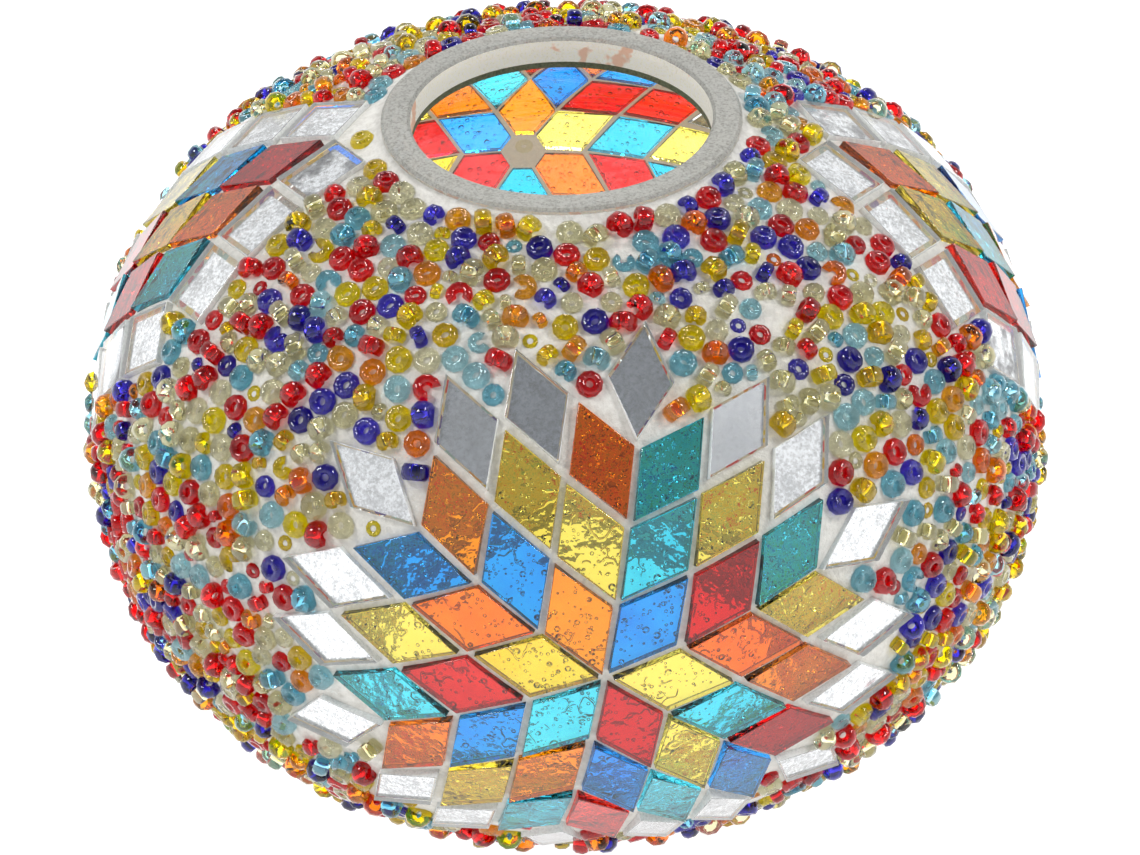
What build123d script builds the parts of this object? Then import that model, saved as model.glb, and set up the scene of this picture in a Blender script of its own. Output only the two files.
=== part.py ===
from build123d import *
import math
import os
import numpy as np

# Mosaic glass lamp shade: a blown clear-glass globe, open at both ends, covered in flat
# cut-glass tiles, mirror tiles and seed beads set in grout.
# Millimetres, +Z up. The origin is the centre of the bottom ground rim, on the surface
# that the shade stands on.

# ---- blown glass globe -------------------------------------------------------------
glass_radius = 77.5
glass_half_height = 58.0
profile_power = 2.24
glass_wall = 2.7

# Ground collar at the top, where a lamp holder or cap goes in.
neck_inner_radius = 24.2
neck_wall = 4.7
neck_top_above_equator = 58.8

# Wider ground collar at the bottom, on which the shade stands.
foot_inner_radius = 35.5
foot_wall = 3.2
foot_below_equator = 57.0
rim_chamfer = 0.5

# ---- clear adhesive and grout ------------------------------------------------------
adhesive_thickness = 0.35
adhesive_stop = 1.0
grout_thickness = 1.4
grout_collar_clearance = 0.02
neck_grout_below_rim = 1.0
foot_grout_above_rim = 2.2
collar_grout_width = 3.0

# ---- cut glass ---------------------------------------------------------------------
tile_thickness = 2.15
tile_gap = 1.05
bedding_gap = 0.03
pocket_clearance = 0.02
tile_wander = 0.20
silver_thickness = 0.12
silver_border = 0.45
mirror_length = 11.6
mirror_width = 10.4
mirror_spacing = 13.0
mirror_side_gap = 1.0
notch_mirror_shift = 1.2
ray_mirror_shift = -0.6

# Six-pointed stars of 60 degree rhombi: azimuth is measured from -Y towards +X.
star_pitch = 12.1
star_rings = 3
front_star_azimuth = 3.6
front_star_height = 8.5
front_star_turn = -10.5
rear_star_azimuth = 185.5
rear_star_height = 5.5
rear_star_turn = -26.5
rear_star_clip = 4.2

# Upright diamonds of three by three rhombi on the shoulders.
diamond_pitch = 12.1
diamond_cells = 3
left_diamond_azimuth = -88.3
left_diamond_height = 39.5
left_diamond_turn = -0.6
right_diamond_azimuth = 88.7
right_diamond_height = 34.5
right_diamond_turn = -1.1

# ---- seed beads --------------------------------------------------------------------
bead_diameter = 4.1
bead_length = 2.6
bead_hole = 1.2
bead_crown = 0.38
broken_bead_sweep = 265.0
broken_share = 0.06
medium_bead_scale = 0.83
small_bead_scale = 0.64
bead_bedding_gap = 0.05
bead_spacing = 0.07
bead_tile_spacing = 0.30
bead_collar_spacing = 0.35
bead_cover = 0.76
lying_share = 0.52
bead_seed = 12

turn = math.pi / 180.0
equator = foot_below_equator
neck_outer_radius = neck_inner_radius + neck_wall
foot_outer_radius = foot_inner_radius + foot_wall
rim_top = equator + neck_top_above_equator
face_offset = adhesive_thickness + tile_thickness
grout_offset = adhesive_thickness + grout_thickness
bead_edge = (bead_diameter - bead_hole) / 4.0
random = np.random.default_rng(bead_seed)


# ---- the globe's surface -----------------------------------------------------------
def shell_height(radius, offset):
    """Height above the equator of the shell that lies an offset outside the glass."""
    share = 1.0 - (radius / (glass_radius + offset)) ** profile_power
    return (glass_half_height + offset) * share ** (1.0 / profile_power)


def shell_radius(height, offset):
    """Radius of the shell that lies an offset outside the glass."""
    share = 1.0 - (abs(height) / (glass_half_height + offset)) ** profile_power
    return (glass_radius + offset) * share ** (1.0 / profile_power)


def gradient(points, offset):
    """Outward gradient of the shell's equation, measured from the globe's centre."""
    wide = glass_radius + offset
    tall = glass_half_height + offset
    radius = np.hypot(points[:, 0], points[:, 1]) + 1e-9
    slope = (radius / wide) ** (profile_power - 1.0) / wide
    rise = np.sign(points[:, 2]) * (np.abs(points[:, 2]) / tall) ** (profile_power - 1.0)
    across = points[:, :2] * (slope / radius)[:, None]
    return profile_power * np.column_stack([across, rise / tall])


def normals(points, offset):
    """Unit outward normals of the shell."""
    slope = gradient(points, offset)
    return slope / np.linalg.norm(slope, axis=1, keepdims=True)


def settle(points, offset):
    """Move points on to the shell."""
    wide = glass_radius + offset
    tall = glass_half_height + offset
    for _ in range(3):
        radius = np.hypot(points[:, 0], points[:, 1])
        value = (radius / wide) ** profile_power - 1.0
        value = value + (np.abs(points[:, 2]) / tall) ** profile_power
        slope = gradient(points, offset)
        points = points - slope * (value / np.sum(slope * slope, axis=1))[:, None]
    return points


def place_on_shell(azimuth, height, offset):
    """Point, east and north directions at an azimuth and a height above the equator."""
    angle = azimuth * turn
    radius = shell_radius(height, offset)
    point = np.array([radius * math.sin(angle), -radius * math.cos(angle), height])
    east = np.array([math.cos(angle), math.sin(angle), 0.0])
    north = np.cross(normals(point[None], offset)[0], east)
    return point, east, north


def walk(place, steps_east_north, offset):
    """Walk along the shell from a place, straight ahead, by distances east and north."""
    point, east, north = place
    moves = np.asarray(steps_east_north, float)
    length = np.hypot(moves[:, 0], moves[:, 1]) + 1e-9
    heading = (moves[:, :1] * east + moves[:, 1:] * north) / length[:, None]
    points = np.repeat(point[None], len(moves), axis=0)
    for _ in range(24):
        points = settle(points + heading * (length / 24.0)[:, None], offset)
        normal = normals(points, offset)
        heading = heading - normal * np.sum(heading * normal, axis=1, keepdims=True)
        heading = heading / np.linalg.norm(heading, axis=1, keepdims=True)
    return points


# ---- flat tiles --------------------------------------------------------------------
def inset(corners, distance):
    """Move every side of a convex outline inwards by a distance."""
    count = len(corners)
    middle = np.mean(corners, axis=0)
    lines = []
    for index in range(count):
        start = corners[index]
        along = corners[(index + 1) % count] - start
        along = along / np.linalg.norm(along)
        inward = np.array([-along[1], along[0]])
        if np.dot(middle - start, inward) < 0.0:
            inward = -inward
        lines.append((start + inward * distance, along))
    moved = []
    for index in range(count):
        point, along = lines[index - 1]
        other, other_along = lines[index]
        system = np.column_stack([along, -other_along])
        step = np.linalg.solve(system, other - point)
        moved.append(point + along * step[0])
    return np.array(moved)


def clip(corners, toward, limit):
    """Cut an outline off where it lies further than a limit along a direction."""
    kept = []
    count = len(corners)
    for index in range(count):
        here = corners[index]
        after = corners[(index + 1) % count]
        past_here = np.dot(here, toward) - limit
        past_after = np.dot(after, toward) - limit
        if past_here <= 0.0:
            kept.append(here)
        if past_here * past_after < 0.0:
            kept.append(here + (after - here) * past_here / (past_here - past_after))
    return np.array(kept)


class Tile:
    """A flat tile: its plane touches the tiles' common shell at the tile's middle."""

    def __init__(self, corners, colour):
        self.colour = colour
        middle = settle(np.mean(corners, axis=0)[None], face_offset)[0]
        self.up = normals(middle[None], face_offset)[0]
        self.middle = middle + self.up * bedding_gap
        across = corners[0] - middle
        across = across - self.up * np.dot(across, self.up)
        self.across = across / np.linalg.norm(across)
        self.along = np.cross(self.up, self.across)
        flat = np.column_stack([(corners - middle) @ self.across, (corners - middle) @ self.along])
        self.outline = flat

    def lift(self, outline, level):
        """Points in space for an outline at a level above the tile's face."""
        base = self.middle + self.up * level + np.array([0.0, 0.0, equator])
        return [tuple(base + self.across * x + self.along * y) for x, y in outline]

    def prism(self, outline, bottom, top):
        """A closed solid over an outline, between two levels from the tile's face."""
        wire = Wire.make_polygon([Vector(*point) for point in self.lift(outline, bottom)])
        return Solid.extrude(Face(wire), Vector(*self.up) * (top - bottom))

    def reach(self, points):
        """How far points lie outside the outline, and the outward directions in space."""
        flat_x = (points - self.middle) @ self.across
        flat_y = (points - self.middle) @ self.along
        flat = np.column_stack([flat_x, flat_y])
        best = np.full(len(points), np.inf)
        inside = np.full(len(points), -np.inf)
        out_way = np.zeros((len(points), 2))
        in_way = np.zeros((len(points), 2))
        count = len(self.outline)
        for index in range(count):
            start = self.outline[index]
            side = self.outline[(index + 1) % count] - start
            length = np.linalg.norm(side)
            side = side / length
            outward = np.array([side[1], -side[0]])
            if np.dot(start, outward) < 0.0:
                outward = -outward
            share = np.clip((flat - start) @ side, 0.0, length)
            nearest = start + share[:, None] * side
            apart = flat - nearest
            distance = np.linalg.norm(apart, axis=1) + 1e-9
            closer = distance < best
            best = np.where(closer, distance, best)
            out_way = np.where(closer[:, None], apart / distance[:, None], out_way)
            depth = (flat - start) @ outward
            deeper = depth > inside
            inside = np.where(deeper, depth, inside)
            in_way = np.where(deeper[:, None], outward, in_way)
        within = inside < 0.0
        signed = np.where(within, inside, best)
        way = np.where(within[:, None], in_way, out_way)
        return signed, way[:, :1] * self.across + way[:, 1:] * self.along


def finish_tile(place, flat_corners, colour, toward=None, limit=0.0):
    """Set a tile from its outline on the unrolled shell, with the joint gap taken off."""
    middle = np.mean(flat_corners, axis=0)
    outline = inset(flat_corners, tile_gap / 2.0)
    if toward is not None:
        outline = clip(outline, toward, limit)
    outline = outline + random.uniform(-tile_wander, tile_wander, 2)
    angle = random.uniform(-1.0, 1.0) * turn
    spin = np.array([[math.cos(angle), -math.sin(angle)], [math.sin(angle), math.cos(angle)]])
    outline = middle + (outline - middle) @ spin.T
    return Tile(walk(place, outline, face_offset), colour)


def direction(angle):
    """Unit vector on the unrolled shell, at an angle from east towards north."""
    return np.array([math.cos(angle * turn), math.sin(angle * turn)])


def star(place, heading, colours, centre_clip):
    """A six-pointed star: rings of rhombi, and a mirror in every notch around them."""
    tiles = []
    for sector in range(6):
        first = direction(heading - 60.0 * sector) * star_pitch
        second = direction(heading - 60.0 * (sector + 1)) * star_pitch
        middle_way = direction(heading - 60.0 * sector - 30.0)
        for ring in range(star_rings):
            for cell in range(ring + 1):
                corner = first * (ring - cell) + second * cell
                outline = np.array([corner, corner + first, corner + first + second, corner + second])
                name = colours[sector][ring][cell]
                if ring == 0 and centre_clip > 0.0:
                    tiles.append(finish_tile(place, outline, name, -middle_way, -centre_clip))
                else:
                    tiles.append(finish_tile(place, outline, name))
        for cell in range(1, star_rings):
            corner = first * (star_rings - cell) + second * cell + middle_way * notch_mirror_shift
            outline = np.array([corner, corner + first, corner + first + second, corner + second])
            tiles.append(finish_tile(place, outline, "mirror"))
        corner = first * (star_rings + ray_mirror_shift / star_pitch)
        left = direction(heading - 60.0 * sector + 30.0) * star_pitch
        right = direction(heading - 60.0 * sector - 30.0) * star_pitch
        outline = np.array([corner, corner + left, corner + left + right, corner + right])
        tiles.append(finish_tile(place, outline, "mirror"))
    return tiles


def diamond(place, lean, colours):
    """An upright diamond of rhombi with a row of mirror tiles along each side."""
    tiles = []
    first = direction(60.0 + lean) * diamond_pitch
    second = direction(120.0 + lean) * diamond_pitch
    half = diamond_cells / 2.0
    for i in range(diamond_cells):
        for j in range(diamond_cells):
            corner = first * (i - half) + second * (j - half)
            outline = np.array([corner, corner + first, corner + first + second, corner + second])
            tiles.append(finish_tile(place, outline, colours[i][j]))
    sides = [(first * half, second, 30.0), (second * half, first, 150.0)]
    sides = sides + [(-first * half, second, 210.0), (-second * half, first, -30.0)]
    for middle, run, outward_angle in sides:
        outward = direction(outward_angle + lean)
        run = run / np.linalg.norm(run)
        for step in range(diamond_cells):
            shift = (step - (diamond_cells - 1) / 2.0) * mirror_spacing
            base = middle + run * shift + outward * (mirror_side_gap / 2.0)
            long_half = run * (mirror_length + tile_gap) / 2.0
            deep = outward * (mirror_width + tile_gap)
            left, right = base - long_half, base + long_half
            outline = np.array([left, right, right + deep, left + deep])
            tiles.append(finish_tile(place, outline, "mirror"))
    return tiles


# ---- colours of every tile, ring by ring, from the star's first ray clockwise ---------
R = "red"
O = "orange"
Y = "yellow"
T = "turquoise"
B = "blue"
front_colours = [
    [[B], [T, R], [T, Y, T]],
    [[Y], [O, T], [Y, O, R]],
    [[R], [Y, B], [B, T, R]],
    [[T], [O, B], [T, Y, O]],
    [[Y], [R, O], [T, Y, B]],
    [[O], [B, Y], [O, Y, O]],
]
rear_colours = [
    [[B], [O, R], [T, Y, B]],
    [[R], [Y, T], [O, B, Y]],
    [[T], [B, O], [R, T, B]],
    [[O], [Y, R], [Y, O, T]],
    [[Y], [T, R], [Y, R, B]],
    [[O], [B, T], [O, R, Y]],
]
left_colours = [[T, R, Y], [R, Y, B], [T, O, R]]
right_colours = [[B, R, R], [O, T, Y], [B, Y, O]]

front_place = place_on_shell(front_star_azimuth, front_star_height, face_offset)
rear_place = place_on_shell(rear_star_azimuth, rear_star_height, face_offset)
left_place = place_on_shell(left_diamond_azimuth, left_diamond_height, face_offset)
right_place = place_on_shell(right_diamond_azimuth, right_diamond_height, face_offset)

motifs = {
    "front_star": star(front_place, 90.0 + front_star_turn, front_colours, 0.0),
    "rear_star": star(rear_place, 90.0 + rear_star_turn, rear_colours, rear_star_clip),
    "left_diamond": diamond(left_place, left_diamond_turn, left_colours),
    "right_diamond": diamond(right_place, right_diamond_turn, right_colours),
}
all_tiles = [tile for tiles in motifs.values() for tile in tiles]


# ---- scattered beads ---------------------------------------------------------------
def random_points(count):
    """Points spread evenly by area over the beaded band of the glass."""
    heights = np.linspace(-glass_half_height, glass_half_height, 721)[1:-1]
    radii = np.array([shell_radius(height, 0.0) for height in heights])
    slant = np.hypot(np.diff(heights), np.diff(radii))
    bands = slant * (radii[1:] + radii[:-1]) / 2.0
    running = np.concatenate([[0.0], np.cumsum(bands)])
    drawn = np.interp(random.uniform(0.0, running[-1], count), running, heights)
    angle = random.uniform(0.0, 2.0 * math.pi, count)
    radius = np.interp(drawn, heights, radii)
    points = np.column_stack([radius * np.sin(angle), -radius * np.cos(angle), drawn])
    return points, running[-1] * 2.0 * math.pi


def clear_of_edges(points, footprint):
    """Distance by which points miss the tiles and the two collars, and a way out."""
    room = np.full(len(points), np.inf)
    way = np.zeros((len(points), 3))
    for tile in all_tiles:
        near = np.where(np.linalg.norm(points - tile.middle, axis=1) < 18.0)[0]
        if len(near) == 0:
            continue
        apart, out_way = tile.reach(points[near])
        miss = apart - footprint[near] - bead_tile_spacing
        less = miss < room[near]
        room[near[less]] = miss[less]
        way[near[less]] = out_way[less]
    radius = np.hypot(points[:, 0], points[:, 1])
    collar = np.where(points[:, 2] > 0.0, neck_outer_radius, foot_outer_radius)
    miss = radius - collar - footprint - bead_collar_spacing
    less = miss < room
    outward = np.column_stack([points[:, :2] / (radius[:, None] + 1e-9), np.zeros(len(points))])
    room = np.where(less, miss, room)
    way = np.where(less[:, None], outward, way)
    return room, way


def scatter():
    """Pack bead footprints closely on the band between the tiles."""
    trial, area = random_points(20000)
    room, _ = clear_of_edges(trial, np.zeros(len(trial)))
    free_area = area * float(np.mean(room > 0.0))
    kinds = random.choice(3, size=6000, p=[0.78, 0.14, 0.08])
    scales = np.array([1.0, medium_bead_scale, small_bead_scale])[kinds]
    lying = random.uniform(size=6000) < lying_share
    round_radius = bead_diameter / 2.0 + 0.04
    lying_radius = (bead_diameter + bead_length) / 4.0 + 0.08
    footprint = scales * np.where(lying, lying_radius, round_radius) + bead_spacing / 2.0
    count = int(np.searchsorted(np.cumsum(math.pi * footprint**2), free_area * bead_cover))
    scales, lying, footprint = scales[:count], lying[:count], footprint[:count]
    pool, _ = random_points(8 * count)
    room, _ = clear_of_edges(pool, np.zeros(len(pool)))
    points = pool[room > 1.0][:count]
    count = len(points)
    scales, lying, footprint = scales[:count], lying[:count], footprint[:count]
    pairs = None
    true_footprint = footprint
    for step in range(600):
        footprint = true_footprint * (1.04 if step < 200 else 1.0)
        if step % 12 == 0:
            square = np.sum(points**2, axis=1)
            gaps = square[:, None] + square[None, :] - 2.0 * points @ points.T
            pairs = np.argwhere(np.triu(gaps < 49.0, 1))
        first, second = pairs[:, 0], pairs[:, 1]
        apart = points[first] - points[second]
        distance = np.linalg.norm(apart, axis=1) + 1e-9
        overlap = footprint[first] + footprint[second] - distance
        push = np.where(overlap > 0.0, overlap, 0.0)
        shift = apart / distance[:, None] * (push * 0.46)[:, None]
        moves = np.zeros_like(points)
        np.add.at(moves, first, shift)
        np.add.at(moves, second, -shift)
        if step % 3 == 0:
            room, way = clear_of_edges(points, footprint)
            moves = moves + way * np.where(room < 0.0, -room * 0.9, 0.0)[:, None]
        length = np.linalg.norm(moves, axis=1, keepdims=True) + 1e-9
        moves = moves * np.minimum(1.0, 0.9 / length)
        points = settle(points + moves, 0.0)
    return fill_gaps(points, scales, lying, true_footprint)


def fill_gaps(points, scales, lying, footprint):
    """Add smaller beads wherever one fits between the others."""
    trial, _ = random_points(12000)
    for scale in (medium_bead_scale, small_bead_scale):
        radius = bead_diameter / 2.0 * scale + 0.04 + bead_spacing / 2.0
        room, _ = clear_of_edges(trial, np.full(len(trial), radius))
        for spot in trial[room > 0.0]:
            gap = np.linalg.norm(points - spot, axis=1) - footprint
            if gap.min() > radius:
                points = np.vstack([points, spot])
                scales = np.append(scales, scale)
                lying = np.append(lying, False)
                footprint = np.append(footprint, radius)
    return points, scales, lying, footprint


def bead_frames(points, scales, lying, spins, leans):
    """Each bead's centre and hole direction, with the bead resting on the adhesive."""
    up = normals(points, 0.0)
    east = np.cross(np.array([0.0, 0.0, 1.0]), up)
    east = east / np.linalg.norm(east, axis=1, keepdims=True)
    north = np.cross(up, east)
    side = east * np.cos(spins)[:, None] + north * np.sin(spins)[:, None]
    axis = up * np.cos(leans)[:, None] + side * np.sin(leans)[:, None]
    edge = bead_edge * scales
    ring = (bead_diameter / 2.0) * scales - edge
    stub = (bead_length / 2.0) * scales - edge
    rise = ring * np.sin(leans) + stub * np.cos(leans) + edge
    centre = points + up * (adhesive_thickness + bead_bedding_gap + rise)[:, None]
    return centre, axis, side


def bead_samples():
    """Points on the outside of a full-size bead, its hole along +Z."""
    found = []
    ring = bead_diameter / 2.0 - bead_edge
    stub = bead_length / 2.0 - bead_edge
    for step in range(20):
        angle = step * 2.0 * math.pi / 20.0
        for lift in (-1.0, -0.6, 0.0, 0.6, 1.0):
            out = bead_edge * math.sqrt(1.0 - lift * lift)
            high = bead_edge * lift + stub * (0.0 if lift == 0.0 else math.copysign(1.0, lift))
            found.append([(ring + out) * math.cos(angle), (ring + out) * math.sin(angle), high])
        widest = ring + bead_edge
        for level in (-stub, stub):
            found.append([widest * math.cos(angle), widest * math.sin(angle), level])
    return np.array(found)


def bead_clearance(first, second, centre, axis, side, scales):
    """Least distance between pairs of beads, each taken as a rounded drum."""
    samples = bead_samples()
    least = np.full(len(first), np.inf)
    for one, two in ((first, second), (second, first)):
        third = np.cross(axis[one], side[one])
        flat = side[one] - axis[one] * np.sum(side[one] * axis[one], axis=1, keepdims=True)
        flat = flat / np.linalg.norm(flat, axis=1, keepdims=True)
        third = np.cross(axis[one], flat)
        size = scales[one][:, None, None]
        local = samples[None] * size
        world = local[..., :1] * flat[:, None] + local[..., 1:2] * third[:, None]
        world = world + local[..., 2:] * axis[one][:, None] + centre[one][:, None]
        apart = world - centre[two][:, None]
        along = np.sum(apart * axis[two][:, None], axis=2)
        across = np.linalg.norm(apart - along[..., None] * axis[two][:, None], axis=2)
        edge = (bead_edge * scales[two])[:, None]
        ring = (bead_diameter / 2.0 * scales[two])[:, None] - edge
        stub = (bead_length / 2.0 * scales[two])[:, None] - edge
        over_across = np.maximum(across - ring, 0.0)
        over_along = np.maximum(np.abs(along) - stub, 0.0)
        outside = np.hypot(over_across, over_along) - edge
        least = np.minimum(least, outside.min(axis=1))
    return least


def lay_beads():
    """Turn every lying bead to fit its neighbours, and leave out those that can't."""
    points, scales, lying, footprint = scatter()
    count = len(points)
    spins = random.uniform(0.0, 2.0 * math.pi, count)
    lying_lean = random.uniform(76.0, 90.0, count) * turn
    upright_lean = random.uniform(0.0, 1.0, count) ** 1.5 * 20.0 * turn
    leans = np.where(lying, lying_lean, upright_lean)
    square = np.sum(points**2, axis=1)
    gaps = square[:, None] + square[None, :] - 2.0 * points @ points.T
    pairs = np.argwhere(np.triu(gaps < (bead_diameter + 0.8) ** 2, 1))
    first, second = pairs[:, 0], pairs[:, 1]

    def worst(trial_spins):
        centre, axis, side = bead_frames(points, scales, lying, trial_spins, leans)
        least = bead_clearance(first, second, centre, axis, side, scales)
        each = np.full(count, 9.0)
        np.minimum.at(each, first, least)
        np.minimum.at(each, second, least)
        return each, least

    each, least = worst(spins)
    for attempt in range(24):
        troubled = each < 0.04
        movable = troubled & (random.uniform(size=count) < 0.5)
        trial = np.where(movable, random.uniform(0.0, 2.0 * math.pi, count), spins)
        trial_each, trial_least = worst(trial)
        better = movable & (trial_each > each)
        spins = np.where(better, trial, spins)
        each, least = worst(spins)
    room, _ = clear_of_edges(points, footprint * 0.94)
    kept = room > -0.05
    for smaller in (medium_bead_scale, small_bead_scale, 0.0):
        for index in np.argsort(least):
            if least[index] >= 0.02:
                break
            one, two = first[index], second[index]
            if kept[one] and kept[two] and scales[one] > smaller and scales[two] > smaller:
                chosen = one if scales[one] <= scales[two] else two
                if smaller > 0.0:
                    scales[chosen] = smaller
                else:
                    kept[chosen] = False
        each, least = worst(spins)
    return points[kept], scales[kept], lying[kept], spins[kept], leans[kept]


def bead_solid(scale, sweep):
    """A glass ring about +Z with broken corners, whole or with a piece missing."""
    edge = bead_edge * scale
    ring = bead_diameter / 2.0 * scale - edge
    stub = bead_length / 2.0 * scale - edge
    crown = edge * bead_crown
    top = stub + math.sqrt(edge**2 - crown**2)
    upper = [(ring + edge, stub), (ring + crown, top), (ring - crown, top), (ring - edge, stub)]
    lower = [(radius, -height) for radius, height in reversed(upper)]
    corners = [Vector(radius, 0.0, height) for radius, height in upper + lower]
    section = Face(Wire.make_polygon(corners))
    return revolve(section, axis=Axis.Z, revolution_arc=sweep).solids()[0]


def bead_place(centre, axis, side):
    """Where a bead's ring goes, with its hole along the axis."""
    across = np.cross(axis, np.cross(side, axis) + 1e-6)
    spot = centre + np.array([0.0, 0.0, equator])
    return Plane(origin=tuple(spot), x_dir=tuple(across), z_dir=tuple(axis)).location


# ---- solids ------------------------------------------------------------------------
def shell_points(offset, top_radius, bottom_radius):
    """Points down a shell's profile from one radius over the equator to another."""
    top = math.acos((top_radius / (glass_radius + offset)) ** (profile_power / 2.0))
    bottom = -math.acos((bottom_radius / (glass_radius + offset)) ** (profile_power / 2.0))
    found = []
    for step in range(33):
        angle = top + (bottom - top) * step / 32.0
        radius = (glass_radius + offset) * math.cos(angle) ** (2.0 / profile_power)
        rise = abs(math.sin(angle)) ** (2.0 / profile_power)
        height = math.copysign((glass_half_height + offset) * rise, angle)
        found.append((radius, height + equator))
    return found


def turned(profile_edges):
    """A solid turned about the globe's axis from a closed profile in the XZ plane."""
    face = Face(Wire(profile_edges))
    return revolve(face, axis=Axis.Z, revolution_arc=360).solids()[0]


def run(points):
    """A smooth edge in the XZ plane through profile points."""
    return Edge.make_spline([Vector(radius, 0.0, height) for radius, height in points])


def line(start, end):
    """A straight edge in the XZ plane."""
    return Edge.make_line(Vector(start[0], 0.0, start[1]), Vector(end[0], 0.0, end[1]))


def chain(points):
    """Straight edges through profile points."""
    return [line(points[index], points[index + 1]) for index in range(len(points) - 1)]


def make_globe():
    """The blown shell with its two ground collars."""
    outside = shell_points(0.0, neck_outer_radius, foot_outer_radius)
    inside = shell_points(-glass_wall, neck_inner_radius, foot_inner_radius)
    foot = [
        outside[-1],
        (foot_outer_radius, rim_chamfer),
        (foot_outer_radius - rim_chamfer, 0.0),
        (foot_inner_radius, 0.0),
        inside[-1],
    ]
    neck = [
        inside[0],
        (neck_inner_radius, rim_top - rim_chamfer),
        (neck_inner_radius + rim_chamfer, rim_top),
        (neck_outer_radius - rim_chamfer, rim_top),
        (neck_outer_radius, rim_top - rim_chamfer),
        outside[0],
    ]
    return turned([run(outside), *chain(foot), run(inside[::-1]), *chain(neck)])


def make_adhesive():
    """The thin clear coat that holds the tiles and beads."""
    top = neck_outer_radius + adhesive_stop
    bottom = foot_outer_radius + adhesive_stop
    inner = shell_points(0.0, top, bottom)
    outer = shell_points(adhesive_thickness, top, bottom)
    return turned([run(outer), line(outer[-1], inner[-1]), run(inner[::-1]), line(inner[0], outer[0])])


def make_grout():
    """The grout coat, with a window through it for every tile."""
    top = neck_outer_radius + grout_collar_clearance
    bottom = foot_outer_radius + grout_collar_clearance
    film_top = neck_outer_radius + adhesive_stop + grout_collar_clearance
    film_bottom = foot_outer_radius + adhesive_stop + grout_collar_clearance
    outer = shell_points(grout_offset, top + collar_grout_width, bottom + collar_grout_width)
    inner = shell_points(adhesive_thickness + grout_collar_clearance, film_top, film_bottom)
    below = [
        outer[-1],
        (bottom, foot_grout_above_rim),
        (bottom, equator - shell_height(bottom, grout_collar_clearance)),
        (film_bottom, equator - shell_height(film_bottom, grout_collar_clearance)),
        inner[-1],
    ]
    above = [
        inner[0],
        (film_top, equator + shell_height(film_top, grout_collar_clearance)),
        (top, equator + shell_height(top, grout_collar_clearance)),
        (top, rim_top - neck_grout_below_rim),
        outer[0],
    ]
    coat = turned([run(outer), *chain(below), run(inner[::-1]), *chain(above)])
    windows = []
    for tile in all_tiles:
        outline = inset(tile.outline, -pocket_clearance)
        windows.append(tile.prism(outline, -tile_thickness - 3.0, 4.0))
    return (coat - windows).solids()[0]


def save(name, solids):
    """Write one node."""
    if len(solids) == 1:
        export_step(solids[0], "parts/" + name + ".step")
    else:
        export_step(Compound(children=list(solids)), "parts/" + name + ".step")
    print(name, len(solids))


os.makedirs("parts", exist_ok=True)
save("glass_globe", [make_globe()])
save("adhesive_film", [make_adhesive()])
save("grout_coat", [make_grout()])

colour_names = [R, O, Y, T, B]
for motif_name, tiles in motifs.items():
    for colour in colour_names:
        chosen = [tile for tile in tiles if tile.colour == colour]
        if chosen:
            made = [tile.prism(tile.outline, -tile_thickness, 0.0) for tile in chosen]
            save(motif_name + "_" + colour + "_tiles", made)
    mirrors = [tile for tile in tiles if tile.colour == "mirror"]
    silver_top = silver_thickness - tile_thickness
    glass = [tile.prism(tile.outline, silver_top, 0.0) for tile in mirrors]
    silver = []
    for tile in mirrors:
        silver.append(tile.prism(inset(tile.outline, silver_border), -tile_thickness, silver_top))
    save(motif_name + "_mirror_glass", glass)
    save(motif_name + "_mirror_silvering", silver)

bead_colours = ["red", "champagne", "amber", "aqua", "cobalt", "orange"]
bead_shares = [0.22, 0.21, 0.18, 0.15, 0.13, 0.11]
points, scales, lying, spins, leans = lay_beads()
centres, axes, sides = bead_frames(points, scales, lying, spins, leans)
picked = random.choice(len(bead_colours), size=len(points), p=bead_shares)
broken = (random.uniform(size=len(points)) < broken_share) & (scales > small_bead_scale)
rings = {}
for scale in (1.0, medium_bead_scale, small_bead_scale):
    rings[(scale, False)] = bead_solid(scale, 360.0)
    rings[(scale, True)] = bead_solid(scale, broken_bead_sweep)
beads = [[] for _ in bead_colours]
for index in range(len(points)):
    ring = rings[(float(scales[index]), bool(broken[index]))]
    place = bead_place(centres[index], axes[index], sides[index])
    beads[picked[index]].append(ring.moved(place))
for name, solids in zip(bead_colours, beads):
    save(name + "_beads", solids)
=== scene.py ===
"""Mosaic glass lamp shade: the finished look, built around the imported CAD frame.

The blown globe, the grout, the cut tiles, the mirrors and the seed beads are each made as
their own pieces, in metres, in the frame's own coordinates.
"""

import logging
import math
from dataclasses import dataclass
from enum import Enum

import bmesh
import bpy
import numpy as np
from mathutils import Matrix, Vector


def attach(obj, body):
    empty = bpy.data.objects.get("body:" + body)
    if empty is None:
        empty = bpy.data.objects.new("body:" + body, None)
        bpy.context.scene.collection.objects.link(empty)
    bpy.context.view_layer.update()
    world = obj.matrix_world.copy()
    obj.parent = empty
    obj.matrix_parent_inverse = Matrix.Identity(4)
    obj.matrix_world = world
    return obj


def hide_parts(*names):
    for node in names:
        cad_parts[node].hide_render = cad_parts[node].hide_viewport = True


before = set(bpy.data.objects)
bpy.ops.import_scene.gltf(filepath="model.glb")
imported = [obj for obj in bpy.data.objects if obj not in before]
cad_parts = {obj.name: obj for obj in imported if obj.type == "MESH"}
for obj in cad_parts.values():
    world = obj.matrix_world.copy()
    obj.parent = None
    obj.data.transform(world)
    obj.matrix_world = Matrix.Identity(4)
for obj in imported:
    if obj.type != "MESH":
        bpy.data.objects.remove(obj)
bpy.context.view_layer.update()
MM = 0.001
BODY = "root"

# Height of the globe's widest ring above the table, where its middle lies.
EQUATOR = 57.0 * MM

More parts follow.
